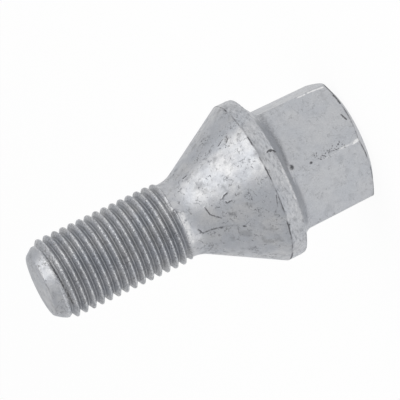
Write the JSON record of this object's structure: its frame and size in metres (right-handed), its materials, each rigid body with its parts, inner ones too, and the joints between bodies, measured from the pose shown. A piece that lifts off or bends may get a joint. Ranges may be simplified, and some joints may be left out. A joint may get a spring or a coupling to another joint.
{
  "type": "wheel bolt",
  "caption": "Steel wheel bolt with a hexagon head, a collar, a conical seat and a threaded shank, for holding a road wheel on its hub.",
  "frame": {"origin": "middle of the flat end of the head, which the bolt stands on", "axes": "+Z runs along the axis of the bolt towards its point; +X and -X point squarely at two flats of the hexagon"},
  "size_m": [0.0232, 0.0232, 0.0475],
  "materials": {
    "coated_steel": "thin zinc flake coating, satin grey, scuffed and speckled from handling"
  },
  "bodies": {
    "root": {"wheel_bolt": "coated_steel"}
  },
  "joints": []
}
